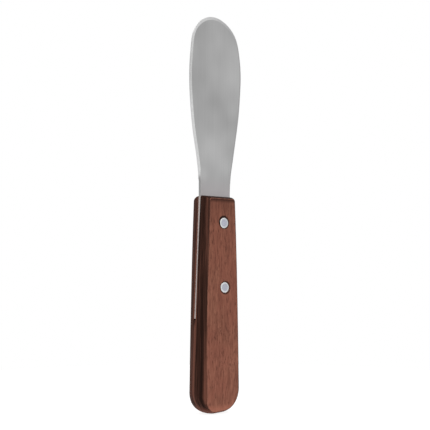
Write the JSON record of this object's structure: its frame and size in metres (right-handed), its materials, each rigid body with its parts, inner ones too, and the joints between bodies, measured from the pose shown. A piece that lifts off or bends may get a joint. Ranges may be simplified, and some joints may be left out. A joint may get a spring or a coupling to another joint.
{
  "type": "palette knife",
  "caption": "Hand tool with a broad round-ended steel blade whose tang is riveted into a saw kerf down a tapered hardwood handle, for mixing, spreading and scraping.",
  "frame": {"origin": "middle of the handle's butt end, half way through the thickness", "axes": "+Z along the knife from the butt to the tip, +X across the width, +Y through the thickness to the back; the front face, with the rivets' socket heads, looks along -Y"},
  "size_m": [0.033, 0.0126, 0.196],
  "materials": {
    "steel": "satin, fine brushing along the blade",
    "wood": "oiled reddish-brown hardwood, darker on its edge grain",
    "rivet_metal": "satin, polished rim"
  },
  "bodies": {
    "root": {"blade": "steel", "handle": "wood", "upper_rivet_socket": "rivet_metal", "upper_rivet_pin": "rivet_metal", "lower_rivet_socket": "rivet_metal", "lower_rivet_pin": "rivet_metal"}
  },
  "joints": []
}
